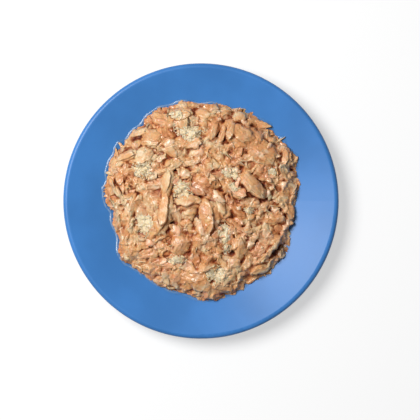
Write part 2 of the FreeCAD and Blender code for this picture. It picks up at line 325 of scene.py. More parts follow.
class Paint:
    """A material that is made by expressions."""

    def __init__(self, name):
        self.material = bpy.data.materials.new(name)
        self.material.use_nodes = True
        self.tree = self.material.node_tree
        self.tree.nodes.clear()
        self.output = self.tree.nodes.new("ShaderNodeOutputMaterial")

    def node(self, kind, options=None, values=None, output=0):
        """Adds a node: its options are set first, then the values or links of its sockets."""
        node = self.tree.nodes.new(kind)
        for key, value in (options or {}).items():
            if key == "stops":
                self.set_stops(node.color_ramp, value)
            else:
                setattr(node, key, value)
        for key, value in (values or {}).items():
            self.feed(node.inputs[key], value)
        return Wire(self, node.outputs[output])

    def set_stops(self, ramp, stops):
        """Sets the places and colours of a ramp."""
        while len(ramp.elements) < len(stops):
            ramp.elements.new(1.0)
        for element, (place, value) in zip(ramp.elements, stops):
            element.position = place
            element.color = (*value, 1.0)

    def feed(self, socket, value):
        """Links an expression to a socket, or sets its value."""
        if isinstance(value, Wire):
            self.tree.links.new(value.socket, socket)
        elif hasattr(value, "__len__") and len(value) == 3 and socket.type == "RGBA":
            socket.default_value = (*value, 1.0)
        else:
            socket.default_value = value

    def value(self, name):
        """A number kept at each point of the mesh."""
        return self.node("ShaderNodeAttribute", {"attribute_name": name}, output="Fac")

    def vector(self, name):
        """A vector kept at each point of the mesh."""
        return self.node("ShaderNodeAttribute", {"attribute_name": name}, output="Vector")

    def place(self):
        """The place on the object, in metres."""
        return self.node("ShaderNodeTexCoord", output="Object")

    def scaled(self, vector, scale):
        """A vector with each of its numbers multiplied."""
        return self.node("ShaderNodeVectorMath", {"operation": "MULTIPLY"}, {0: vector, 1: scale})

    def noise(self, vector, scale, detail=2.0, roughness=0.5, distortion=0.0):
        values = {"Vector": vector, "Scale": scale, "Detail": detail, "Roughness": roughness}
        values["Distortion"] = distortion
        return self.node("ShaderNodeTexNoise", None, values, output="Fac")

    def mixed(self, factor, first, second, blend="MIX"):
        """Two colours mixed by a factor."""
        kind = {"data_type": "RGBA", "blend_type": blend, "clamp_factor": True}
        return self.node("ShaderNodeMix", kind, {0: factor, 6: first, 7: second}, output=2)

    def bump(self, height, distance, strength=1.0):
        values = {"Height": height, "Distance": distance, "Strength": strength}
        return self.node("ShaderNodeBump", None, values)

    def principled(self, values):
        """Ends the material with the main shader."""
        return self.finish(self.node("ShaderNodeBsdfPrincipled", None, values))

    def finish(self, shader):
        self.tree.links.new(shader.socket, self.output.inputs["Surface"])
        return self.material


def ramp_of(paint, factor, stops):
    """A colour ramp on a value."""
    return paint.node("ShaderNodeValToRGB", {"stops": stops}, {"Fac": factor}, output="Color")


# ---- materials ---------------------------------------------------------------------------------
HOLLOW_STAIN_AND_SHADE = (0.56, 0.34, 0.215)  # what a little juice leaves of the flesh's colour, and painted shade: hollows are darkened and reddened by it
FLOOR_GLOW = 0.54  # light that the floor adds where it is seen directly


def glaze_paint():
    """Satin-gloss blue glaze, with the clay left bare on the ring that the saucer stands on."""
    wanted = settings().saucer
    paint = Paint("blue_glaze")
    place = paint.place()
    height = paint.node("ShaderNodeSeparateXYZ", None, {0: place}, output="Z")
    cloud = paint.noise(place, 28.0, 3.0)
    speck = paint.noise(place, 900.0, 2.0)
    ripple = paint.noise(place, 60.0, 2.0)
    deep = tuple(0.90 * c for c in wanted.glaze)
    light = tuple(min(1.0, 1.08 * c) for c in wanted.glaze)
    glaze = paint.mixed(cloud.step(0.3, 0.7), deep, light)
    glaze = paint.mixed((speck - 0.62) * 1.6, glaze, tuple(0.8 * c for c in wanted.glaze))
    edge = 0.45 * MM + speck * (0.2 * MM)
    glazed = (height - edge).step(0.0, 0.15 * MM)
    clay = paint.mixed(speck, wanted.bare_clay, tuple(0.72 * c for c in wanted.bare_clay))
    rough = wanted.glaze_roughness + (cloud - 0.5) * 0.06
    bump = paint.bump(ripple * 0.6 + speck * 0.05, 0.10 * MM, 0.25)
    return paint.principled(
        {
            "Base Color": paint.mixed(glazed, clay, glaze),
            "Roughness": glazed * rough + (1.0 - glazed) * 0.85,
            "IOR": 1.35,
            "Normal": bump,
        }
    )


def flesh_paint(name, wetness):
    """Moist fish: fibres run along each flake and thin edges are paler; crests get a painted highlight and
    hollows painted shade, partly juice.
    """
    wanted = settings().fish
    paint = Paint(name)
    tint, blush = paint.value("tint"), paint.value("blush")
    rim, sunk = paint.value("rim"), paint.value("sunk")
    grain = paint.vector("grain")
    place = paint.place()
    fibre = paint.noise(paint.scaled(grain, (0.16, 1.5, 1.0)), 1.0, 3.0, 0.6)
    hair = paint.noise(paint.scaled(grain, (0.5, 5.0, 1.0)), 1.0, 2.0, 0.6)
    blotch = paint.noise(place, 150.0, 3.0, 0.6)
    fine = paint.noise(place, 900.0, 3.0, 0.6)
    band = paint.noise(paint.scaled(grain, (0.07, 0.45, 1.0)), 1.0, 2.0, 0.5)
    cloud = paint.noise(place, 130.0, 3.0, 0.5, 0.6)
    milky = paint.noise(place, 210.0, 2.0, 0.5, 0.4)
    shade = tint + (fibre - 0.5) * 0.7 + (band - 0.5) * 0.6 + (cloud - 0.5) * 1.9
    stops = ((0.05, wanted.deep), (0.5, wanted.mid), (0.95, wanted.pale))
    flesh = ramp_of(paint, shade, stops)
    flesh = paint.mixed(blush + (blotch - 0.54) * 1.6, flesh, wanted.pink)
    flesh = paint.mixed((milky - 0.56) * 2.6, flesh, wanted.milky)
    flesh = paint.mixed((0.44 - milky) * 2.4, flesh, wanted.golden)
    # rim holds the paler thin edges and a painted highlight on the crests: both mix towards pale and milky
    flesh = paint.mixed(rim * (0.35 + 0.4 * fine), flesh, wanted.pale)
    flesh = paint.mixed(((rim - 0.25) * 0.7).clamped(), flesh, wanted.milky)
    # painted shade, partly juice: the deeper a point lies, the darker and redder it is painted, down to
    # near black at the deepest
    stained_and_shaded = paint.mixed(1.0, flesh, HOLLOW_STAIN_AND_SHADE, "MULTIPLY")
    flesh = paint.mixed((sunk * 2.5).clamped(), flesh, stained_and_shaded)
    stain_and_shade_share = ((sunk - 0.22) * 2.2 + (blotch - 0.5) * 0.5 * sunk).clamped()
    flesh = paint.mixed(stain_and_shade_share, flesh, wanted.juice_and_shade)
    flesh = paint.mixed(((sunk - 0.52) * 3.0).clamped(), flesh, tuple(0.4 * c for c in wanted.juice_and_shade))
    damp = paint.noise(place, 420.0, 2.0)
    return paint.principled(
        {
            "Base Color": flesh,
            "Roughness": 0.52 - damp * 0.22,
            "IOR": 1.34,
            "Subsurface Weight": 0.35,
            "Subsurface Radius": (1.0, 0.55, 0.35),
            "Subsurface Scale": 1.2 * MM,
            "Coat Weight": (damp - 0.33) * 5.0 * wetness * (1.0 - 2.0 * sunk).clamped(),
            "Coat Roughness": 0.16,
            "Normal": paint.bump(hair * 0.6 + fine * 0.5, 0.35 * MM, 0.35),
        }
    )


def curd_paint():
    """Crumbly cream-coloured curd, faintly green in patches."""
    wanted = settings().fish
    paint = Paint("pale_curd")
    place = paint.place()
    tint, sunk = paint.value("tint"), paint.value("sunk")
    fine = paint.noise(place, 1100.0, 3.0, 0.65)
    patch = paint.noise(place, 240.0, 2.0)
    shade = (tint + (patch - 0.5) * 0.9 + (fine - 0.5) * 0.5).clamped()
    olive = tuple(c * f for c, f in zip(wanted.curd, (0.82, 0.76, 0.62)))
    curd = paint.mixed(shade, olive, tuple(min(1.0, 1.10 * c) for c in wanted.curd))
    # painted shade: deeper points are darkened towards deep salmon
    curd = paint.mixed((sunk * 0.45).clamped(), curd, wanted.deep)
    return paint.principled(
        {
            "Base Color": curd,
            "Roughness": 0.62 - fine * 0.2,
            "Subsurface Weight": 0.5,
            "Subsurface Radius": (1.0, 0.8, 0.5),
            "Subsurface Scale": 1.2 * MM,
            "Coat Weight": patch * 0.4,
            "Coat Roughness": 0.2,
            "Normal": paint.bump(fine, 0.35 * MM, 0.6),
        }
    )


def lump_paint():
    """Smooth wet lumps, whitish pink and a little see-through."""
    wanted = settings().fish
    paint = Paint("white_lump")
    place = paint.place()
    tint, sunk = paint.value("tint"), paint.value("sunk")
    patch = paint.noise(place, 380.0, 2.0)
    rosy = tuple(c * f for c, f in zip(wanted.lump, (0.95, 0.74, 0.66)))
    body = paint.mixed((tint + (patch - 0.5) * 0.8).clamped(), rosy, wanted.lump)
    # painted shade: deeper points are darkened towards the juice colour
    body = paint.mixed((sunk * 1.2).clamped(), body, tuple(1.6 * c for c in wanted.juice_and_shade))
    return paint.principled(
        {
            "Base Color": body,
            "Roughness": 0.34 + patch * 0.2,
            "Subsurface Weight": 0.45,
            "Subsurface Radius": (1.0, 0.6, 0.4),
            "Subsurface Scale": 2.0 * MM,
            "Coat Weight": 0.4,
            "Coat Roughness": 0.14,
            "Normal": paint.bump(patch, 0.3 * MM, 0.4),
        }
    )


def gravy_paint():
    """Clear gravy: what is under it shows, and its surface mirrors the lights; a pale blue highlight line
    is painted along its edge.
    """
    paint = Paint("clear_gravy")
    place = paint.place()
    wave = paint.noise(place, 260.0, 2.0)
    bump = paint.bump(wave, 0.2 * MM, 0.25)
    clear = paint.node("ShaderNodeBsdfTransparent", None, {"Color": (0.99, 0.985, 0.97)})
    values = {"Base Color": (1.0, 0.98, 0.94), "Metallic": 1.0, "Roughness": 0.22, "Normal": bump}
    mirror = paint.node("ShaderNodeBsdfPrincipled", None, values)
    gloss = paint.node("ShaderNodeFresnel", None, {"IOR": 1.42, "Normal": bump})
    inner = paint.node("ShaderNodeNewGeometry", output="Backfacing")
    gloss = gloss * (1.0 - inner)
    film = paint.node("ShaderNodeMixShader", None, {0: gloss, 1: clear, 2: mirror})
    # painted highlight: a pale blue matt line mixed in where rim is set
    values = {"Base Color": (0.72, 0.86, 1.0), "Roughness": 0.3}
    painted_highlight = paint.node("ShaderNodeBsdfPrincipled", None, values)
    line = paint.value("rim") * wave.step(0.25, 0.6) * 0.5
    return paint.finish(paint.node("ShaderNodeMixShader", None, {0: line, 1: film, 2: painted_highlight}))


def floor_paint():
    """A pale matt floor that the camera sees as white away from the shadow."""
    paint = Paint("studio_floor")
    seen = paint.node("ShaderNodeLightPath", output="Is Camera Ray")
    for name in ("Is Glossy Ray", "Is Transmission Ray"):
        seen = seen.maximum(paint.node("ShaderNodeLightPath", output=name))
    tone = settings().studio.floor
    matt = paint.node("ShaderNodeBsdfDiffuse", None, {"Color": (tone, tone, tone)})
    glow = paint.node("ShaderNodeEmission", None, {"Strength": seen * FLOOR_GLOW})
    return paint.finish(paint.node("ShaderNodeAddShader", None, {0: matt, 1: glow}))


# ---- the heap's running height -----------------------------------------------------------------
def top_of(node, xs, ys, missing):
    """Height in millimetres of a node's upper side at each place, looking straight down."""
    mesh = node.data
    corners = [v.co for v in mesh.vertices]
    tree = BVHTree.FromPolygons(corners, [p.vertices for p in mesh.polygons])
    above, down = 0.2, Vector((0.0, 0.0, -1.0))
    out = np.full(xs.shape, missing, float)
    flat = out.ravel()
    for i, (x, y) in enumerate(zip(xs.ravel() * MM, ys.ravel() * MM)):
        hit = tree.ray_cast(Vector((x, y, above)), down)[0]
        if hit is not None:
            flat[i] = hit.z / MM
    return out


def blurred(field, width):
    """A field smoothed by a bell whose width is given in millimetres."""
    cells = width / PITCH
    reach = int(math.ceil(3.0 * cells))
    bell = np.exp(-0.5 * (np.arange(-reach, reach + 1) / cells) ** 2)
    bell /= bell.sum()
    padded = np.pad(field, reach, mode="edge")
    rows = np.apply_along_axis(np.convolve, 0, padded, bell, "valid")
    return np.apply_along_axis(np.convolve, 1, rows, bell, "valid")


class Landscape:
    """How high the heap stands, cell by cell, while pieces are laid on it."""

    def __init__(self):
        self.axis = np.arange(-REACH, REACH + PITCH / 2.0, PITCH)
        self.x, self.y = np.meshgrid(self.axis, self.axis, indexing="ij")
        self.azimuths = np.linspace(-math.pi, math.pi, 361)
        self.glaze = top_of(SAUCER, self.x, self.y, 0.0)
        top = top_of(HEAP, self.x, self.y, 0.0)
        self.outline = self.reach_of(top > self.glaze + 0.25)
        azimuth, distance = self.polar(self.x, self.y)
        self.inside = distance < self.edge(azimuth)
        crown = np.where(self.inside, np.maximum(top, self.glaze), self.glaze)
        self.crown = np.maximum(blurred(crown, 2.2), self.glaze)
        self.height = self.glaze.copy()
        self.large = np.zeros(self.x.shape)  # how clear a large flake is kept of small ones
        self.curdy = np.zeros(self.x.shape, bool)
        self.fibre = np.zeros((*self.x.shape, 4))  # the top flake's middle, turn and serial number
        self.tint = np.full(self.x.shape, 0.3)
        self.blush = np.full(self.x.shape, 0.1)

    def polar(self, x, y):
        """Azimuth and distance from the middle of the heap."""
        dx, dy = x - HEAP_CENTRE[0], y - HEAP_CENTRE[1]
        return np.arctan2(dy, dx), np.hypot(dx, dy)

    def reach_of(self, mask):
        """The furthest distance at which a mask is set, for each degree round the heap."""
        azimuth, distance = self.polar(self.x[mask], self.y[mask])
        bins = np.clip(np.round(np.degrees(azimuth)).astype(int) + 180, 0, 360)
        reach = np.zeros(361)
        np.maximum.at(reach, bins, distance)
        reach[0] = reach[360] = max(reach[0], reach[360])
        return reach

    def edge(self, azimuth):
        """Radius of the heap's outline at an azimuth, in radians."""
        return np.interp(azimuth, self.azimuths, self.outline)

    def window(self, x, y, reach):
        """The block of cells within reach of a place."""
        spans = []
        for c in (x, y):
            low = int(np.searchsorted(self.axis, c - reach))
            high = int(np.searchsorted(self.axis, c + reach))
            spans.append(slice(max(0, low), max(low + 1, high)))
        return tuple(spans)

    def place(self, azimuth, distance):
        """The place at an azimuth and a distance from the middle of the heap."""
        x = HEAP_CENTRE[0] + distance * math.cos(azimuth)
        y = HEAP_CENTRE[1] + distance * math.sin(azimuth)
        return x, y

    def keep_off_glaze(self, points, clearance=CLEARANCE):
        """Lifts the points that lie lower than the glaze and a clearance."""
        floor = self.at(self.glaze, points[:, 0], points[:, 1]) + clearance
        points[:, 2] = np.maximum(points[:, 2], floor)

    def at(self, field, x, y):
        """A field read at places between the cells' middles."""
        i = np.clip((np.asarray(x) + REACH) / PITCH, 0, len(self.axis) - 1.001)
        j = np.clip((np.asarray(y) + REACH) / PITCH, 0, len(self.axis) - 1.001)
        i0, j0 = i.astype(int), j.astype(int)
        fi, fj = i - i0, j - j0
        near = field[i0, j0] * (1 - fj) + field[i0, j0 + 1] * fj
        far = field[i0 + 1, j0] * (1 - fj) + field[i0 + 1, j0 + 1] * fj
        return near * (1 - fi) + far * fi


# ---- pieces' meshes ----------------------------------------------------------------------------
class Batch:
    """Gathers the meshes of many small pieces and joins them into one object."""

    def __init__(self, name):
        self.name = name
        self.points, self.faces = [], []
        self.values = {"tint": [], "blush": [], "rim": []}
        self.grain = []
        self.total = 0

    def add(self, points, faces, tint=0.5, blush=0.0, rim=0.0, grain=None):
        """Adds one piece: points in millimetres and faces of four corners, or three."""
        n = len(points)
        self.points.append(points)
        self.faces.append([f + self.total for f in faces])
        for key, value in (("tint", tint), ("blush", blush), ("rim", rim)):
            self.values[key].append(np.broadcast_to(np.asarray(value, float), (n,)))
        self.grain.append(points if grain is None else grain)
        self.total += n

    def build(self, material, slot):
        """Makes the object, which rides on the saucer's body."""
        points = np.concatenate(self.points) * MM
        faces = [f for group in self.faces for f in group]
        loops = np.concatenate([f.ravel() for f in faces])
        sizes = np.concatenate([np.full(len(f), f.shape[1]) for f in faces])
        mesh = bpy.data.meshes.new(self.name)
        mesh.vertices.add(len(points))
        mesh.vertices.foreach_set("co", points.ravel())
        mesh.loops.add(len(loops))
        mesh.loops.foreach_set("vertex_index", loops)
        mesh.polygons.add(len(sizes))
        mesh.polygons.foreach_set("loop_start", np.concatenate(([0], np.cumsum(sizes)[:-1])))
        mesh.polygons.foreach_set("use_smooth", np.full(len(sizes), True))
        mesh.update(calc_edges=True)
        mesh.validate()
        for key, parts in self.values.items():
            made = mesh.attributes.new(key, "FLOAT", "POINT")
            made.data.foreach_set("value", np.concatenate(parts))
        made = mesh.attributes.new("grain", "FLOAT_VECTOR", "POINT")
        made.data.foreach_set("vector", np.concatenate(self.grain).ravel())
        mesh.attributes.new("sunk", "FLOAT", "POINT")
        mesh.materials.append(material)
        piece = bpy.data.objects.new(self.name, mesh)
        bpy.context.scene.collection.objects.link(piece)
        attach(piece, "root")
        return piece


PILLOWS = {}


def pillow_faces(rows, columns):
    """Faces of two grids of points that share their outer edge."""
    if (rows, columns) not in PILLOWS:
        top = np.arange(rows * columns).reshape(rows, columns)
        under = top.copy()
        inner = (rows - 2) * (columns - 2)
        under[1:-1, 1:-1] = rows * columns + np.arange(inner).reshape(rows - 2, columns - 2)

        def quads(grid):
            return np.stack([grid[:-1, :-1], grid[1:, :-1], grid[1:, 1:], grid[:-1, 1:]], -1).reshape(-1, 4)

        PILLOWS[rows, columns] = np.concatenate([quads(top), quads(under)[:, ::-1]])
    return PILLOWS[rows, columns]


class Flake:
    """A torn slab of flesh: facets run along it, and its sides and ends are ragged."""

    def __init__(self, rng, length, width, thick, blunt=0.35, step=0.8):
        self.rng = rng
        self.half_length, self.half_width, self.thick = length / 2.0, width / 2.0, thick
        self.blunt = blunt
        rows = int(np.clip(round(length / step) + 2, 5, 36))
        self.columns = int(np.clip(round(width / (0.75 * step)) + 2, 4, 26))
        self.u = np.sin(np.linspace(-1.0, 1.0, rows) * math.pi / 2.0) * 0.4
        self.u += np.linspace(-0.6, 0.6, rows)
        self.v = np.sin(np.linspace(-1.0, 1.0, self.columns) * math.pi / 2.0) * 0.35
        self.v += np.linspace(-0.65, 0.65, self.columns)
        self.narrow = rng.uniform(0.05, 0.40, 2)  # how much each end narrows
        self.bow = rng.normal(0.0, 0.05) * length  # sideways bend in plan
        self.slant = rng.uniform(-0.35, 0.35)  # the ends are cut at a slant
        self.lean = rng.uniform(-0.30, 0.30)
        self.tip = rng.uniform(-0.25, 0.25)
        self.curl = rng.normal(0.0, 0.09, 2) * min(length, 9.0)
        self.square = rng.uniform(2.6, 7.0)  # how upright the sides are
        self.serial = rng.uniform(0.0, 1000.0)
        self.sides = [self.torn(rng, length, 2.2, 0.16), self.torn(rng, length, 2.2, 0.16)]
        reach = min(0.16 * length, 1.8)
        self.ends = [self.torn(rng, width, 1.5, reach), self.torn(rng, width, 1.5, reach)]
        facets = max(1, round(width / 2.3))
        self.ridges = np.linspace(-1.0, 1.0, facets + 2)
        self.ridges[1:-1] += rng.uniform(-0.35, 0.35, facets) * (2.0 / (facets + 1))
        self.facets = rng.uniform(0.62, 1.08, (2, facets + 2))
        self.drift = rng.uniform(-0.3, 0.3)  # how far the ridges wander across

    def torn(self, rng, span, spacing, depth):
        """A ragged line: places from -1 to 1 and how far each stands out."""
        knots = max(3, round(span / spacing)) + 1
        places = np.linspace(-1.0, 1.0, knots)
        return places, rng.uniform(-1.0, 0.8, knots) * depth

    def span(self, v):
        """Half the length of the fibre at a place across the flake."""
        round_off = np.sqrt(np.clip(1.0 - np.abs(v) ** 2.4, 0.0, 1.0))
        return self.half_length * (self.blunt + (1.0 - self.blunt) * round_off)

    def girth(self, u, v):
        """Half the width at a place along the flake, as a share, on the side of v."""
        narrow = np.where(u < 0.0, self.narrow[0], self.narrow[1])
        torn = np.where(v < 0.0, np.interp(u, *self.sides[0]), np.interp(u, *self.sides[1]))
        return 1.0 - narrow * np.abs(u) ** 2.0 + torn

    def crown(self, u, v):
        """Height of the slab, from 0 at its edge to about 1."""
        across = np.sqrt(np.clip(1.0 - np.abs(v) ** self.square, 0.0, 1.0))
        along = np.sqrt(np.clip(1.0 - np.abs(u) ** (self.square + 1.5), 0.0, 1.0))
        w = v + self.drift * u
        near, far = (np.interp(w, self.ridges, level) for level in self.facets)
        facet = near + (far - near) * (0.5 + 0.5 * u)
        return across * along * facet * (1.0 + self.lean * v + self.tip * u)

    def lift(self, u):
        """How far the ends curl up or down."""
        curl = np.where(u < 0.0, self.curl[0], self.curl[1])
        return curl * np.abs(u) ** 2.5

    def cover(self, a, b):
        """Height of the top over the middle plane at places in the flake's own frame, or none."""
        b = b - self.bow * (a / self.half_length) ** 2
        v = np.clip(b / self.half_width, -0.999, 0.999)
        end = np.where(a < 0.0, np.interp(v, *self.ends[0]), np.interp(v, *self.ends[1]))
        u = (a - self.slant * b) / (self.span(v) + 0.5 * end)
        v = b / self.half_width / self.girth(np.clip(u, -1.0, 1.0), b)
        inside = (np.abs(u) < 1.0) & (np.abs(v) < 1.0)
        u, v = np.clip(u, -1.0, 1.0), np.clip(v, -1.0, 1.0)
        return inside, 0.7 * self.thick * self.crown(u, v) + self.lift(u)

    def surface(self):
        """Points of the slab in the flake's own frame, with its attributes."""
        u, v = np.meshgrid(self.u, self.v, indexing="ij")
        b = v * self.half_width * self.girth(u, v)
        end = np.where(u < 0.0, -np.interp(v, *self.ends[0]), np.interp(v, *self.ends[1]))
        a = u * self.span(v) + end * np.abs(u) ** 3 + self.slant * b
        b = b + self.bow * (a / self.half_length) ** 2
        crown = self.crown(u, v)
        s = self.serial
        fibre = np.sin(b * 3.6 + 0.8 * np.sin(0.7 * a + s) + s) + 0.7 * np.sin(b * 5.8 + 0.3 * a - s)
        rough = np.sin(a * 1.1 + s) * np.cos(b * 1.7 - s) + 0.6 * np.sin(a * 2.3 - b * 1.9 + 2.0 * s)
        relief = 0.045 * min(self.thick, 1.6) * fibre + 0.08 * min(self.thick, 2.0) * rough
        top = 0.7 * self.thick * crown + relief * np.clip(1.6 * crown, 0.0, 1.0) + self.lift(u)
        under = -0.3 * self.thick * crown + self.lift(u)
        rim = np.clip(1.25 - 1.9 * crown, 0.0, 1.0)
        return a, b, top, under, rim

    def mesh(self, x, y, turn, base):
        """Points, faces, rim and grain of the flake laid on a base given in its own frame."""
        a, b, top, under, rim = self.surface()
        bed = base(a, b)
        c, s = math.cos(turn), math.sin(turn)
        grain = np.stack([a, b, np.full(a.shape, self.serial)], -1)
        upper = np.stack([x + a * c - b * s, y + a * s + b * c, bed + top], -1)
        lower = upper.copy()
        lower[..., 2] = bed + under
        inner = (slice(1, -1), slice(1, -1))
        points = np.concatenate([upper.reshape(-1, 3), lower[inner].reshape(-1, 3)])
        grain = np.concatenate([grain.reshape(-1, 3), grain[inner].reshape(-1, 3)])
        rim = np.concatenate([rim.ravel(), rim[inner].ravel()])
        return points, pillow_faces(*a.shape), rim, grain


def along_and_across(dx, dy, c, s):
    """Offsets in the frame of a piece that is turned by an angle of this cosine and sine."""
    return dx * c + dy * s, dy * c - dx * s


def bed_under(a, b, heights, stiff, level):
    """A gently curved sheet through the heights under a piece, lifted to a level of them."""
    columns = [np.ones_like(a), a, b, a * a, a * b, b * b]
    basis = np.stack(columns, -1)
    damping = np.diag([0.0, 0.5, 0.5, 6.0 * stiff, 6.0 * stiff, 6.0 * stiff]) * max(4, len(a)) * 0.25
    fit = np.linalg.solve(basis.T @ basis + damping + 1e-6 * np.eye(6), basis.T @ heights)
    fit[1:3] = np.clip(fit[1:3], -0.55, 0.55)
    fit[3:] = np.clip(fit[3:], -0.03, 0.03)
    fit[0] += np.percentile(heights - basis @ fit, level)

    def base(p, q):
        return fit[0] + fit[1] * p + fit[2] * q + fit[3] * p * p + fit[4] * p * q + fit[5] * q * q

    return base


def lay(batch, flake, x, y, turn, tint, blush, sink=0.25, level=62, limit=None, shy=None):
    """Lays a flake on the heap, unless it would stand over the limit or lie on what it shuns."""
    reach = math.hypot(flake.half_length, flake.half_width) + 0.5
    block = LAND.window(x, y, reach)
    dx, dy = LAND.x[block] - x, LAND.y[block] - y
    c, s = math.cos(turn), math.sin(turn)
    a, b = along_and_across(dx, dy, c, s)
    inside, crown = flake.cover(a, b)
    if inside.sum() < 3:
        return
    if shy is not None and shy[block][inside].mean() > MOST_OVERLAP:
        return
    heights = LAND.height[block][inside]
    base = bed_under(a[inside], b[inside], heights, 1.0, level)
    raised = (0.3 - sink) * flake.thick

    def seat(p, q):
        return base(p, q) + raised

    tops = seat(a[inside], b[inside]) + crown[inside]
    if limit is not None and np.mean(tops - LAND.crown[block][inside]) > limit:
        return
    points, faces, rim, grain = flake.mesh(x, y, turn, seat)
    LAND.keep_off_glaze(points)
    batch.add(points, [faces], tint, blush, rim, grain)
    patch = LAND.height[block]
    shows = inside.copy()
    shows[inside] = tops > patch[inside]
    patch[inside] = np.maximum(patch[inside], tops)
    LAND.fibre[block][shows] = (x, y, turn, flake.serial)
    LAND.tint[block][shows] = tint
    LAND.blush[block][shows] = blush


def inward(x, y, turn, half_length, half_width, over):
    """Moves a place towards the middle, so that a piece there stays within the outline."""
    azimuth, distance = LAND.polar(x, y)
    extent = abs(math.cos(turn - azimuth)) * half_length + abs(math.sin(turn - azimuth)) * half_width
    allowed = float(LAND.edge(azimuth)) + over - extent
    if distance > allowed:
        distance = allowed
    return LAND.place(azimuth, distance)


def low_place(rng, tries):
    """One of some chance places on the heap, where most is missing under the wanted surface."""
    best, lowest = None, -1e9
    for _ in range(tries):
        azimuth = rng.uniform(-math.pi, math.pi)
        distance = float(LAND.edge(azimuth)) * math.sqrt(rng.uniform(0.0, 1.0))
        x, y = LAND.place(azimuth, distance)
        block = LAND.window(x, y, 1.6)
        missing = float(np.mean(LAND.crown[block] - LAND.height[block]))
        if missing > lowest:
            best, lowest = (x, y), missing
    return best


def chance_tint(rng, mean, spread, most=1.1):
    """A piece's tint, kept between 0 and the most."""
    return float(np.clip(rng.normal(mean, spread), 0.0, most))


def drift(x, y):
    """The way the fibres tend to lie at a place, in radians."""
    return 1.3 * math.sin(x * 0.055 + 0.8) + 1.1 * math.cos(y * 0.05 - 0.4) + 0.02 * (x - y)


def region_blush(x, y):
    """How pink the fish is at a place."""
    return 0.10 + 0.12 * math.sin(x * 0.11 + 1.0) * math.cos(y * 0.09 + 0.5) + 0.0012 * (x - y)


def strewn(batch, rng, number, sizes, blunt, step, tries, limit, shy=None, spread=0.9, over=0.4):
    """Strews flakes of chance sizes over the low places of the heap."""
    (short, long), (thin, wide) = sizes
    for _ in range(number):
        size = rng.beta(1.5, 2.0)
        length = short + (long - short) * size
        width = thin + (wide - thin) * min(1.0, max(0.0, size + rng.normal(0.0, 0.28)))
        width = min(width, 0.8 * length)
        thick = min(width, 4.5) * rng.uniform(0.38, 0.62)
        flake = Flake(rng, length, width, thick, rng.uniform(*blunt), step)
        x, y = low_place(rng, tries)
        turn = drift(x, y) + rng.normal(0.0, spread)
        x, y = inward(x, y, turn, length / 2.0, width / 2.0, rng.normal(over, 0.5))
        tint = chance_tint(rng, 0.55, 0.17)
        blush = max(0.0, region_blush(x, y) + rng.normal(0.0, 0.16))
        lay(batch, flake, x, y, turn, tint, blush, limit=limit, shy=shy)


# ---- round pieces ------------------------------------------------------------------------------
def ball(subdivisions):
    """Points and triangles of a ball of radius 1."""
    phi = (1.0 + math.sqrt(5.0)) / 2.0
    corners = [(-1, phi, 0), (1, phi, 0), (-1, -phi, 0), (1, -phi, 0), (0, -1, phi), (0, 1, phi)]
    corners += [(0, -1, -phi), (0, 1, -phi), (phi, 0, -1), (phi, 0, 1), (-phi, 0, -1), (-phi, 0, 1)]
    points = [Vector(c).normalized() for c in corners]
    near = 2.0 / math.sqrt(phi * math.sqrt(5.0)) + 0.01
    faces = []
    for i in range(12):
        for j in range(i + 1, 12):
            for k in range(j + 1, 12):
                a, b, c = points[i], points[j], points[k]
                if max((a - b).length, (b - c).length, (a - c).length) < near:
                    outward = (b - a).cross(c - a).dot(a) > 0.0
                    faces.append((i, j, k) if outward else (i, k, j))
    for _ in range(subdivisions):
        middles, finer = {}, []

        def middle(i, j):
            key = (min(i, j), max(i, j))
            if key not in middles:
                middles[key] = len(points)
                points.append((points[i] + points[j]).normalized())
            return middles[key]

        for i, j, k in faces:
            a, b, c = middle(i, j), middle(j, k), middle(k, i)
            finer += [(i, a, c), (a, j, b), (c, b, k), (a, b, c)]
        faces = finer
    return np.array([tuple(p) for p in points]), np.array(faces)


BALLS = [ball(n) for n in range(4)]


def pebble(rng, detail, radii, rough, waves=4, sharp=1.0, upright=False):
    """A dented ball of uneven radii, turned at random or only about the upright axis."""
    points, faces = BALLS[detail]
    swell = np.zeros(len(points))
    for _ in range(waves):
        way = rng.normal(size=3) * sharp * 2.2
        swell += np.sin(points @ way + rng.uniform(0.0, TAU))
    shaped = points * (1.0 + rough * swell / math.sqrt(waves))[:, None] * np.asarray(radii)
    if upright:
        way = rng.uniform(0.0, TAU)
        c, s = math.cos(way), math.sin(way)
        return shaped @ np.array([[c, s, 0.0], [-s, c, 0.0], [0.0, 0.0, 1.0]]), faces
    turned, _ = np.linalg.qr(rng.normal(size=(3, 3)))
    if np.linalg.det(turned) < 0.0:
        turned[:, 0] = -turned[:, 0]
    return shaped @ turned.T, faces


def settle(batch, rng, x, y, points, faces, tint, blush=0.0, sink=0.35, level=70, mark=None):
    """Sets a round piece down on the heap, a little sunk in."""
    radius = float(np.abs(points[:, :2]).max())
    block = LAND.window(x, y, max(radius, 0.6))
    tall = float(points[:, 2].max() - points[:, 2].min())
    bed = np.percentile(LAND.height[block], level)
    z = bed + tall * (0.5 - sink)
    placed = points + np.array([x, y, z])
    LAND.keep_off_glaze(placed)
    batch.add(placed, [faces], tint, blush, 0.0)
    off = np.hypot(LAND.x[block] - x, LAND.y[block] - y) / max(radius, 1e-6)
    dome = z + 0.5 * tall * np.sqrt(np.clip(1.0 - off**2, 0.0, 1.0))
    inside = off < 0.95
    patch = LAND.height[block]
    patch[inside] = np.maximum(patch[inside], dome[inside])
    if mark is not None:
        mark[block][inside] = True


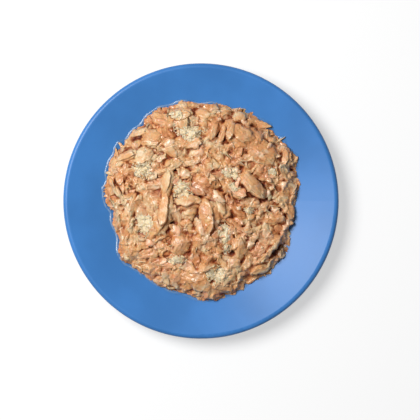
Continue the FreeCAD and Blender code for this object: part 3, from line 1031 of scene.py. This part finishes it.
# ---- sheets over the glaze ---------------------------------------------------------------------
def closed_sheet(inside, top, bottom, x, y):
    """Points and faces of a sheet over the cells of a mask, closed by a fan underneath."""
    corner = inside.copy()
    corner[1:, :] |= inside[:-1, :]
    corner[:, 1:] |= inside[:, :-1]
    corner[1:, 1:] |= inside[:-1, :-1]
    number = np.full(inside.shape, -1)
    number[corner] = np.arange(corner.sum())
    upper = np.stack([x[corner], y[corner], top[corner]], -1)
    cells = np.argwhere(inside[:-1, :-1])
    i, j = cells[:, 0], cells[:, 1]
    quads = np.stack([number[i, j], number[i + 1, j], number[i + 1, j + 1], number[i, j + 1]], -1)
    edges = np.concatenate([quads[:, [k, (k + 1) % 4]] for k in range(4)])
    key = edges[:, 0] * len(upper) + edges[:, 1]
    back = edges[:, 1] * len(upper) + edges[:, 0]
    start, end = edges[~np.isin(key, back)].T
    ring = np.unique(start)
    lower = upper[ring].copy()
    lower[:, 2] = bottom[corner][ring]
    below = np.full(len(upper), -1)
    below[ring] = len(upper) + np.arange(len(ring))
    middle = np.full(len(start), len(upper) + len(ring))
    sides = np.stack([end, start, below[start], below[end]], -1)
    fan = np.stack([below[end], below[start], middle], -1)
    points = np.concatenate([upper, lower, lower.mean(axis=0)[None, :]])
    return points, [np.concatenate([quads, sides]), fan], corner, ring


def waves_over(x, y, rng, number, shortest, longest):
    """A sum of sine waves of chance lengths and ways, about -1 to 1."""
    total = np.zeros_like(x)
    for _ in range(number):
        way = rng.uniform(0.0, TAU)
        step = TAU / rng.uniform(shortest, longest)
        total += np.sin((x * math.cos(way) + y * math.sin(way)) * step + rng.uniform(0.0, TAU))
    return total / math.sqrt(number)


def billows(x, y, rng, shortest, longest):
    """Rounded swellings with sharp creases between them, about -0.5 to 1."""
    return np.abs(waves_over(x, y, rng, 20, 2.0 * shortest, 2.0 * longest)) - 0.56


LAND = Landscape()


def fish_meshes():
    """Each loose piece and its points in millimetres."""
    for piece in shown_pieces():
        if piece.type == "MESH" and "sunk" in piece.data.attributes:
            points = np.empty(len(piece.data.vertices) * 3, np.float32)
            piece.data.vertices.foreach_get("co", points)
            yield piece, points.reshape(-1, 3) / MM


def chance(salt):
    """A seeded source of chance, one for each kind of piece."""
    return np.random.default_rng([settings().heap.seed, salt])


class BuildOperator:
    """What all the operators below share."""

    bl_options = {"REGISTER", "UNDO"}

    def execute(self, context):
        self.build()
        return {"FINISHED"}


class FISH_OT_glaze_saucer(BuildOperator, bpy.types.Operator):
    """Give the saucer its glaze"""

    bl_idname = "flaked_fish.glaze_saucer"
    bl_label = "Glaze the saucer"

    def build(self):
        SAUCER.data.materials.clear()
        SAUCER.data.materials.append(glaze_paint())


class FISH_OT_lay_core(BuildOperator, bpy.types.Operator):
    """Set the height of the core that the loose flakes lie on"""

    bl_idname = "flaked_fish.lay_core"
    bl_label = "Lay the core"

    def build(self):
        rng = chance(1)
        cover = settings().heap.cover / MM
        relief = 0.45 * waves_over(LAND.x, LAND.y, rng, 14, 2.4, 7.0)
        top = LAND.crown - cover + relief
        inside = (top > LAND.glaze + 0.15) & LAND.inside
        LAND.height = np.maximum(LAND.height, np.where(inside, top, LAND.glaze))


class FISH_OT_mash_core(BuildOperator, bpy.types.Operator):
    """Make the core, whose fine mash rises between the flakes and joins them"""

    bl_idname = "flaked_fish.mash_core"
    bl_label = "Mash the core"

    LEAST_GAP = 0.26  # how far the mash stays under the flakes round it
    PITS = 3.3  # how much deeper it lies in the chance pits between them
    MOAT = 2.0  # how much deeper it lies beside a large flake

    def build(self):
        rng = chance(11)
        x, y = LAND.x, LAND.y
        soft = blurred(LAND.height, 0.45)
        proud = blurred(LAND.large, 0.8)
        curdy = blurred(1.0 * LAND.curdy, 0.5)
        gap = self.LEAST_GAP + self.PITS * np.clip(waves_over(x, y, rng, 20, 3.5, 9.0) - 0.55, 0.0, 1.0)
        gap += self.MOAT * np.clip(blurred(LAND.large, 1.6) * 2.0 - proud, 0.0, 0.6)
        filled = np.maximum(soft + 0.06, blurred(LAND.height, 1.5) - gap)
        sink = 0.45 * proud + 0.9 * curdy
        top = filled - sink + self.relief(rng) * (1.0 - 0.5 * proud)
        azimuth, distance = LAND.polar(x, y)
        inside = (top > LAND.glaze + 0.1) & (distance < LAND.edge(azimuth) + 0.8)
        top = np.maximum(top, LAND.glaze)
        points, faces, corner, ring = closed_sheet(inside, top, LAND.glaze - 0.1, x, y)

        def spread(field):
            upper = field[corner]
            return np.concatenate([upper, upper[ring], upper[:1]])

        tint = spread(blurred(LAND.tint, 0.7))
        blush = spread(blurred(LAND.blush, 0.8))
        a, b, serial = self.along_fibres()
        grain = np.stack([spread(a), spread(b), spread(serial)], -1)
        batch = Batch("fish_core")
        batch.add(points, faces, tint, blush, 0.0, grain)
        piece = batch.build(flesh_paint("packed_flesh", 0.5), "fish_in_gravy")
        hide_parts("flaked_fish")
        LAND.height = np.where(inside, np.maximum(LAND.height, top), LAND.height)

    def along_fibres(self):
        """Places along and across the fibres of the flake that lies at each cell."""
        middle_x, middle_y, turn, serial = np.moveaxis(LAND.fibre, -1, 0)
        dx, dy = LAND.x - middle_x, LAND.y - middle_y
        return *along_and_across(dx, dy, np.cos(turn), np.sin(turn)), serial

    def relief(self, rng):
        """Lumps and creases, with strands that run the way the flake underneath does."""
        a, b, serial = self.along_fibres()
        strands = np.sin(3.3 * b + 0.9 * np.sin(0.5 * a + serial) + serial)
        strands += 0.6 * np.sin(5.4 * b + 0.8 * np.sin(0.9 * a - serial) - 2.0 * serial)
        x = LAND.x + 0.7 * waves_over(LAND.x, LAND.y, rng, 14, 3.0, 8.0)
        y = LAND.y + 0.7 * waves_over(LAND.x, LAND.y, rng, 14, 3.0, 8.0)
        return 0.40 * billows(x, y, rng, 1.7, 4.0) + 0.18 * billows(x, y, rng, 0.9, 1.8) + 0.13 * strands


class FISH_OT_lay_bed(BuildOperator, bpy.types.Operator):
    """Strew the lower layer of flakes over the core"""

    bl_idname = "flaked_fish.lay_bed"
    bl_label = "Lay the bed of flakes"

    SIZES = ((7.0, 18.0), (4.0, 9.0))  # shortest and longest, narrowest and widest

    def build(self):
        batch, rng = Batch("bed_flakes"), chance(2)
        number = settings().heap.bed_flakes
        strewn(batch, rng, number, self.SIZES, (0.2, 0.8), 1.0, 8, -0.4)
        batch.build(flesh_paint("bed_flesh", 0.6), "fish_in_gravy")


class FISH_OT_lay_large_flakes(BuildOperator, bpy.types.Operator):
    """Lay the large flakes where they belong"""

    bl_idname = "flaked_fish.lay_large_flakes"
    bl_label = "Lay the large flakes"

    BROAD = 9.0  # flakes at least this wide are partly covered by mash and small flakes
    BROAD_CLEAR = 0.35  # how clear those are kept
    THICKER = 1.2
    STEP = 0.55  # spacing of the points along a flake

    def build(self):
        batch, rng = Batch("large_flakes"), chance(3)
        for row in LARGE_FLAKES:
            self.lay_layers(batch, rng, row)
        batch.build(flesh_paint("large_flesh", 0.45), "fish_in_gravy")

    def lay_layers(self, batch, rng, row):
        """A large flake is a lower layer with one or two narrower ones that have slipped on it."""
        turn = math.radians(row.turn)
        layers = [(1.0, 1.0, 0.62, 0.0, 0.0)]
        for _ in range(1 if row.width < 6.5 else 2):
            slip = rng.uniform(-0.16, 0.16) * row.length
            aside = rng.uniform(-0.24, 0.24) * row.width
            layers.append((rng.uniform(0.62, 0.92), rng.uniform(0.55, 0.85), 0.42, slip, aside))
        for long, wide, thick, slip, aside in layers:
            x = row.x + slip * math.cos(turn) - aside * math.sin(turn)
            y = row.y + slip * math.sin(turn) + aside * math.cos(turn)
            size = (row.length * long, row.width * wide, self.THICKER * row.thick * thick)
            flake = Flake(rng, *size, row.blunt, self.STEP)
            way = turn + rng.normal(0.0, 0.05)
            tint = 0.12 + 0.66 * row.tint + rng.normal(0.0, 0.05)
            lay(batch, flake, x, y, way, tint, row.blush, sink=0.15, level=62)
            block = LAND.window(x, y, row.length)
            dx, dy = LAND.x[block] - x, LAND.y[block] - y
            a, b = along_and_across(dx, dy, math.cos(way), math.sin(way))
            clear = 1.0 if row.width < self.BROAD else self.BROAD_CLEAR
            covered = clear * flake.cover(1.3 * a, 1.3 * b)[0]
            LAND.large[block] = np.maximum(LAND.large[block], covered)


class FISH_OT_lay_broken_flakes(BuildOperator, bpy.types.Operator):
    """Fill in with broken flakes and chips"""

    bl_idname = "flaked_fish.lay_broken_flakes"
    bl_label = "Lay the broken flakes"

    SIZES = ((5.5, 16.0), (3.2, 8.0))  # shortest and longest, narrowest and widest
    CHIP_SIZES = ((2.6, 6.5), (1.5, 3.6))

    def build(self):
        wanted = settings().heap
        batch, rng = Batch("broken_flakes"), chance(4)
        number = wanted.broken_flakes
        strewn(batch, rng, number, self.SIZES, (0.2, 0.9), 0.8, 8, 0.9, LAND.large)
        batch.build(flesh_paint("broken_flesh", 0.5), "fish_in_gravy")
        batch, rng = Batch("chips"), chance(5)
        number = wanted.chips
        strewn(batch, rng, number, self.CHIP_SIZES, (0.2, 0.9), 0.7, 8, 1.0, LAND.large, 1.3)
        batch.build(flesh_paint("chip_flesh", 0.6), "fish_in_gravy")


class FISH_OT_lay_curds(BuildOperator, bpy.types.Operator):
    """Heap up the crumbly cream-coloured clusters"""

    bl_idname = "flaked_fish.lay_curds"
    bl_label = "Lay the curds"

    def build(self):
        batch, rng = Batch("pale_curds"), chance(6)
        for cluster in CURD_CLUSTERS:
            self.lay_mass(batch, rng, cluster)
            self.lay_frills(batch, rng, cluster)
        batch.build(curd_paint(), "pale_flakes")

    def lay_mass(self, batch, rng, cluster):
        """The body of a cluster: a low crumbly mound with a frayed edge."""
        side = max(12, round(cluster.across / 0.36))
        u, v = np.meshgrid(np.linspace(-1.0, 1.0, side), np.linspace(-1.0, 1.0, side), indexing="ij")
        across, along = u * np.sqrt(1.0 - v * v / 2.0), v * np.sqrt(1.0 - u * u / 2.0)
        way, share = np.arctan2(along, across), np.hypot(across, along)
        frayed = np.ones_like(way)
        for waves in (2, 3, 5, 8, 13, 21):
            frayed += 0.13 / waves**0.3 * np.sin(waves * way + rng.uniform(0.0, TAU)) * share
        x = cluster.x + 0.5 * cluster.across * across * frayed
        y = cluster.y + 0.5 * cluster.along * along * frayed
        crumb = 0.42 * billows(x, y, rng, 1.4, 3.0) + 0.30 * billows(x, y, rng, 0.8, 1.4)
        mound = 1.0 - share**3.0
        bed = LAND.at(blurred(LAND.height, 1.2), x, y)
        top = bed - 0.5 + 1.3 * mound + crumb * (0.35 + 0.65 * np.sqrt(mound))
        upper = np.stack([x, y, top], -1)
        lower = np.stack([x, y, np.minimum(bed - 1.2, top - 0.3)], -1)[1:-1, 1:-1]
        points = np.concatenate([upper.reshape(-1, 3), lower.reshape(-1, 3)])
        LAND.keep_off_glaze(points)
        batch.add(points, [pillow_faces(side, side)], 0.72)
        cell = tuple(np.round((upper[..., k] + REACH) / PITCH).astype(int).ravel() for k in (0, 1))
        np.maximum.at(LAND.height, cell, top.ravel())
        LAND.curdy[cell] = True

    def lay_frills(self, batch, rng, cluster):
        """Fine frilly crumbs all over a cluster."""
        number = int(0.8 * cluster.across * cluster.along) + 10
        for i in range(number):
            off = ((i + 0.5) / number) ** 0.36
            way = i * GOLDEN_ANGLE
            wobble = 1.0 + 0.25 * math.sin(3.0 * way + cluster.x)
            x = cluster.x + 0.5 * cluster.across * off * wobble * math.cos(way) + rng.normal(0.0, 0.4)
            y = cluster.y + 0.5 * cluster.along * off * wobble * math.sin(way) + rng.normal(0.0, 0.4)
            radii = rng.uniform(0.22, 0.44) * np.array([rng.uniform(1.0, 2.6), 0.8, 0.8])
            points, faces = pebble(rng, 1, radii, 0.28, 5, 2.0)
            tint = chance_tint(rng, 0.72, 0.2, 1.0)
            settle(batch, rng, x, y, points, faces, tint, sink=0.62, level=42, mark=LAND.curdy)


class FISH_OT_lay_lumps(BuildOperator, bpy.types.Operator):
    """Set the smooth whitish lumps"""

    bl_idname = "flaked_fish.lay_lumps"
    bl_label = "Lay the white lumps"

    def build(self):
        batch, rng = Batch("white_lumps"), chance(7)
        lumps = list(WHITE_LUMPS)
        for _ in range(settings().heap.loose_lumps):
            x, y = low_place(rng, 3)
            x, y = inward(x, y, 0.0, 1.5, 1.5, 0.0)
            lumps.append(Lump(x, y, rng.uniform(1.8, 3.4)))
        for lump in lumps:
            radii = 0.5 * lump.width * np.array([1.3, 0.85, 0.6]) * rng.uniform(0.8, 1.2, 3)
            points, faces = pebble(rng, 2, radii, 0.16, 5, 1.3, upright=True)
            tint = chance_tint(rng, 0.5, 0.3, 1.0)
            place = (lump.x, lump.y)
            settle(batch, rng, *place, points, faces, tint, sink=0.48, level=50, mark=LAND.large)
        batch.build(lump_paint(), "fish_in_gravy")


class FISH_OT_strew_shreds(BuildOperator, bpy.types.Operator):
    """Strew thin pointed shreds and fine crumbs"""

    bl_idname = "flaked_fish.strew_shreds"
    bl_label = "Strew shreds and crumbs"

    def build(self):
        wanted = settings().heap
        batch, rng = Batch("shreds"), chance(8)
        for row in EDGE_SHREDS:
            flake = Flake(rng, row.length, row.width, row.thick, row.blunt, 0.6)
            lay(batch, flake, row.x, row.y, math.radians(row.turn), row.tint, row.blush, 0.0, 75)
        for _ in range(wanted.shreds):
            long = rng.uniform(2.5, 8.0)
            wide = rng.uniform(0.5, 1.2)
            flake = Flake(rng, long, wide, wide * rng.uniform(0.5, 0.8), 0.02, 0.7)
            x, y = low_place(rng, 4)
            turn = drift(x, y) + rng.normal(0.0, 0.8)
            x, y = inward(x, y, turn, long / 2.0, wide / 2.0, rng.normal(0.5, 0.6))
            tint = chance_tint(rng, 0.58, 0.2)
            lay(batch, flake, x, y, turn, tint, max(0.0, rng.normal(0.05, 0.12)), 0.1, 80, 1.6)
        batch.build(flesh_paint("shred_flesh", 0.5), "fish_in_gravy")
        batch, rng = Batch("crumbs"), chance(9)
        for _ in range(wanted.crumbs):
            x, y = low_place(rng, 2)
            x, y = inward(x, y, 0.0, 0.5, 0.5, 0.2)
            radii = rng.uniform(0.25, 0.75) * rng.uniform(0.6, 1.4, 3)
            points, faces = pebble(rng, 1, radii, 0.2, 3, 1.5)
            tint = chance_tint(rng, 0.65, 0.3)
            settle(batch, rng, x, y, points, faces, tint, max(0.0, rng.normal(0.08, 0.15)), 0.3, 65)
        batch.build(flesh_paint("crumb_flesh", 0.6), "fish_in_gravy")


class FISH_OT_pour_gravy(BuildOperator, bpy.types.Operator):
    """Run a thin film of clear gravy round the heap"""

    bl_idname = "flaked_fish.pour_gravy"
    bl_label = "Pour the gravy"

    STEPS = 540  # round the heap
    RINGS = 18  # from the film's outer edge inwards
    LIT_SIDE = math.radians(165.0)  # the side where it runs out furthest and where a highlight line is painted along its edge
    RUN = 9.0  # how far the film reaches in under the heap
    DEPTH = 0.70
    FOOD = 0.35  # height over the glaze at which the heap begins

    def build(self):
        batch, rng = Batch("gravy_film"), chance(10)
        steps, rings = self.STEPS, self.RINGS
        azimuth = np.linspace(-math.pi, math.pi, steps, endpoint=False)
        near = np.hypot(LAND.x, LAND.y) < REACH
        food = LAND.reach_of((LAND.height > LAND.glaze + self.FOOD) & near)
        food = np.array([food[max(0, i - 1) : i + 2].max() for i in range(361)])
        food = np.interp(azimuth, LAND.azimuths, food)
        kernel = np.hanning(11) / np.hanning(11).sum()
        food = np.convolve(np.concatenate([food[-5:], food, food[:5]]), kernel, "valid")
        lit = np.clip(np.cos(azimuth - self.LIT_SIDE), -0.5, 1.0)
        spill = 0.95 + 0.5 * lit
        for waves in (5, 9, 14, 23, 37, 61):
            spill += 0.5 / math.sqrt(waves) * np.sin(waves * azimuth + rng.uniform(0.0, TAU))
        edge = food + np.maximum(spill, 0.15)
        back = np.linspace(0.0, 1.0, rings) ** 2.2 * self.RUN
        radius = edge[:, None] - back[None, :]
        x = HEAP_CENTRE[0] + radius * np.cos(azimuth)[:, None]
        y = HEAP_CENTRE[1] + radius * np.sin(azimuth)[:, None]
        glaze = LAND.at(LAND.glaze, x, y)
        depth = self.DEPTH * (1.0 - np.exp(-back / 0.8))[None, :]
        top = glaze + depth + 0.02
        under = glaze + 0.01
        upper = np.stack([x, y, top], -1).reshape(-1, 3)
        lower = np.stack([x, y, under], -1).reshape(-1, 3)
        number = np.arange(steps * rings).reshape(steps, rings)
        after = np.roll(number, -1, axis=0)
        quads = np.stack([number[:, :-1], after[:, :-1], after[:, 1:], number[:, 1:]], -1).reshape(-1, 4)
        n = steps * rings
        outer = np.stack([number[:, 0], number[:, 0] + n, after[:, 0] + n, after[:, 0]], -1)
        inner = np.stack([number[:, -1], after[:, -1], after[:, -1] + n, number[:, -1] + n], -1)
        faces = np.concatenate([quads, quads[:, ::-1] + n, outer, inner])
        # painted highlight: a line about 0.75 mm in from the film's edge, fading away from the lit side,
        # stored as rim
        line = np.exp(-(((back - 0.75) / 0.40) ** 2))[None, :] * np.clip(lit + 0.5, 0.0, 1.0)[:, None]
        rim = np.concatenate([line.ravel(), 0.0 * line.ravel()])
        batch.add(np.concatenate([upper, lower]), [faces], rim=rim)
        batch.build(gravy_paint(), "clear_gravy")


class FISH_OT_stain_and_shade_hollows(BuildOperator, bpy.types.Operator):
    """Mark how deep each point lies, for painted shade in the hollows, partly juice, and how high, for a
    painted highlight on the crests
    """

    # painted shade in the hollows, partly a juice stain
    bl_idname = "flaked_fish.soak_hollows"
    bl_label = "Soak the hollows"

    SCALES = ((0.8, 0.45), (1.8, 0.45), (4.2, 0.35))  # widths looked over, and the part each plays

    def build(self):
        around = [(blurred(LAND.height, size), size, part) for size, part in self.SCALES]
        for piece, points in fish_meshes():
            x, y, z = points.T
            hollow = np.zeros(len(x))
            for height, size, part in around:
                # painted shade: depth under the blurred heights around, read at three widths
                hollow += part * np.clip((LAND.at(height, x, y) - z - 0.15) / (1.2 * size), 0.0, 1.0)
            azimuth, distance = LAND.polar(x, y)
            hollow *= np.clip((LAND.edge(azimuth) - distance) / 3.0, 0.12, 1.0)
            sunk = piece.data.attributes["sunk"]
            sunk.data.foreach_set("value", np.clip(hollow, 0.0, 1.0))
            # painted highlight: crests that stand over their neighbours are added to rim, which the flesh
            # paints paler
            crest_highlight = np.clip((z - LAND.at(around[1][0], x, y) - 0.1) / 1.4, 0.0, 1.0)
            rim = piece.data.attributes["rim"]
            edge = np.empty(len(x), np.float32)
            rim.data.foreach_get("value", edge)
            rim.data.foreach_set("value", np.clip(0.5 * edge + 0.4 * crest_highlight, 0.0, 1.0).astype(np.float32))


class FISH_OT_knead(BuildOperator, bpy.types.Operator):
    """Knead all the fish a little, so that no edge or face stays straight"""

    bl_idname = "flaked_fish.knead"
    bl_label = "Knead the fish"

    FIRM = 0.35  # how much the large flakes give, against 1 for the rest

    def build(self):
        rng = chance(12)
        x, y = LAND.x, LAND.y
        aside = []
        for _ in range(2):
            slow = 0.42 * waves_over(x, y, rng, 16, 3.0, 7.0)
            aside.append(slow + 0.16 * waves_over(x, y, rng, 16, 1.6, 3.0))
        knobs = 0.20 * waves_over(x, y, rng, 24, 2.2, 4.5) + 0.08 * waves_over(x, y, rng, 24, 1.3, 2.0)
        for piece, points in fish_meshes():
            if piece.name == "gravy_film":
                continue
            px, py = points[:, 0].copy(), points[:, 1].copy()
            give = self.FIRM if piece.name == "large_flakes" else 1.0
            points[:, 0] += give * LAND.at(aside[0], px, py)
            points[:, 1] += give * LAND.at(aside[1], px, py)
            points[:, 2] += give * LAND.at(knobs, px, py)
            LAND.keep_off_glaze(points, -0.1)
            piece.data.vertices.foreach_set("co", (points * MM).astype(np.float32).ravel())
            piece.data.update()


class FISH_OT_set_studio(BuildOperator, bpy.types.Operator):
    """Set the floor, the lights and the camera"""

    bl_idname = "flaked_fish.set_studio"
    bl_label = "Set the studio"

    KEY_AZIMUTH = math.radians(151.0)
    KEY_ELEVATION = math.radians(57.0)
    KEY_DISTANCE = 0.9
    KEY_SIZE = 0.50
    CAMERA_OFFSET = (4.9 * MM, -4.9 * MM)
    CAMERA_DISTANCE = 0.95
    FLOOR_HALF = 1.6
    SENSOR = 36.0

    def build(self):
        self.lay_floor()
        self.hang_lights()
        self.set_camera()

    def lay_floor(self):
        mesh = bpy.data.meshes.new("studio_floor")
        half = self.FLOOR_HALF
        corners = [(-half, -half, 0.0), (half, -half, 0.0), (half, half, 0.0), (-half, half, 0.0)]
        mesh.from_pydata(corners, [], [(0, 1, 2, 3)])
        mesh.materials.append(floor_paint())
        floor = bpy.data.objects.new("studio_floor", mesh)
        bpy.context.scene.collection.objects.link(floor)
        floor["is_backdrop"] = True

    def hang_lights(self):
        wanted = settings().studio
        light = bpy.data.lights.new("soft_box", "AREA")
        light.shape = "DISK"
        light.size = self.KEY_SIZE
        light.energy = wanted.key_light
        lamp = bpy.data.objects.new("soft_box", light)
        flat = self.KEY_DISTANCE * math.cos(self.KEY_ELEVATION)
        lamp.location = (
            flat * math.cos(self.KEY_AZIMUTH),
            flat * math.sin(self.KEY_AZIMUTH),
            self.KEY_DISTANCE * math.sin(self.KEY_ELEVATION),
        )
        lamp.rotation_euler = (-Vector(lamp.location)).to_track_quat("-Z", "Y").to_euler()
        bpy.context.scene.collection.objects.link(lamp)
        world = bpy.data.worlds.new("studio_air")
        world.use_nodes = True
        air = world.node_tree.nodes["Background"]
        air.inputs["Color"].default_value = (1.0, 1.0, 1.0, 1.0)
        air.inputs["Strength"].default_value = wanted.fill_light
        bpy.context.scene.world = world

    def set_camera(self):
        camera = bpy.data.cameras.new("overhead")
        eye = bpy.data.objects.new("overhead", camera)
        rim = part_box("saucer")[1].z
        eye.location = (*self.CAMERA_OFFSET, rim + self.CAMERA_DISTANCE)
        camera.sensor_width = self.SENSOR
        camera.lens = self.SENSOR * self.CAMERA_DISTANCE / settings().studio.view_width
        camera.clip_start = 0.01
        bpy.context.scene.collection.objects.link(eye)
        scene = bpy.context.scene
        scene.camera = eye
        scene.view_settings.view_transform = "Standard"


class FISH_PT_sidebar(bpy.types.Panel):
    """The sidebar's list of what there is to build"""

    bl_idname = "FISH_PT_sidebar"
    bl_label = "Flaked fish"
    bl_space_type = "VIEW_3D"
    bl_region_type = "UI"
    bl_category = "Flaked fish"

    def draw(self, context):
        for operator in OPERATORS:
            self.layout.operator(operator.bl_idname)
        wanted = context.scene.flaked_fish
        for group in (wanted.saucer, wanted.heap, wanted.fish, wanted.studio):
            box = self.layout.box()
            for name in type(group).__annotations__:
                box.prop(group, name)


OPERATORS = (
    FISH_OT_glaze_saucer,
    FISH_OT_lay_core,
    FISH_OT_lay_bed,
    FISH_OT_lay_large_flakes,
    FISH_OT_lay_broken_flakes,
    FISH_OT_lay_curds,
    FISH_OT_lay_lumps,
    FISH_OT_strew_shreds,
    FISH_OT_mash_core,
    FISH_OT_pour_gravy,
    FISH_OT_stain_and_shade_hollows,
    FISH_OT_knead,
    FISH_OT_set_studio,
)
GROUPS = (SaucerSettings, HeapSettings, FishColours, StudioSettings, FlakedFishSettings)


def register():
    for cls in (*GROUPS, *OPERATORS, FISH_PT_sidebar):
        bpy.utils.register_class(cls)
    bpy.types.Scene.flaked_fish = bpy.props.PointerProperty(type=FlakedFishSettings)


def unregister():
    del bpy.types.Scene.flaked_fish
    for cls in (FISH_PT_sidebar, *reversed(OPERATORS), *reversed(GROUPS)):
        bpy.utils.unregister_class(cls)


def main():
    register()
    for operator in OPERATORS:
        group, name = operator.bl_idname.split(".")
        getattr(getattr(bpy.ops, group), name)()


if __name__ == "__main__":
    main()
